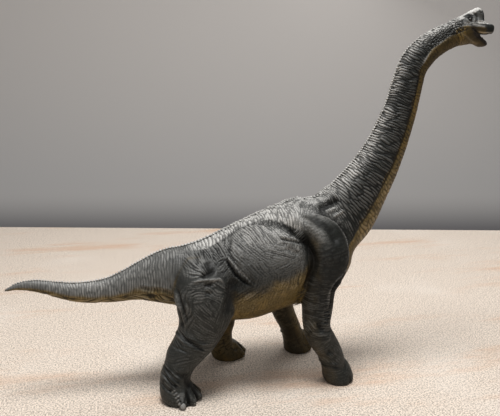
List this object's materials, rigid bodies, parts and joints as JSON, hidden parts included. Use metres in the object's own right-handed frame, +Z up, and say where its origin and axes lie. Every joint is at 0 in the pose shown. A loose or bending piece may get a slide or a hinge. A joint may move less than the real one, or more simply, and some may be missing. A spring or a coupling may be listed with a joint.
{
  "type": "toy dinosaur figure",
  "caption": "Long-necked toy dinosaur figure in a walking pose, with a raised neck, an open mouth, column-like legs and flat soles.",
  "frame": {"origin": "centre of the figure's box at the level of its soles", "axes": "+X towards the head, +Y towards the animal's left side, +Z up from the soles"},
  "size_m": [0.4084, 0.1072, 0.3081],
  "materials": {
    "body_hide": "soft moulded plastic, painted charcoal grey with lighter worn ridges and an olive underside, satin sheen",
    "leg_hide": "the same painted plastic, with dark wrinkles and olive inner sides",
    "head_hide": "the same painted plastic, with pale brushed edges, dark mouth and glossy eyes"
  },
  "bodies": {
    "root": {"torso_left": "body_hide", "torso_right": "body_hide", "neck": "body_hide", "tail": "body_hide", "head": "head_hide", "lower_jaw": "head_hide", "hind_leg_left": "leg_hide", "hind_leg_right": "leg_hide", "fore_leg_left": "leg_hide", "fore_leg_right": "leg_hide"}
  },
  "joints": []
}
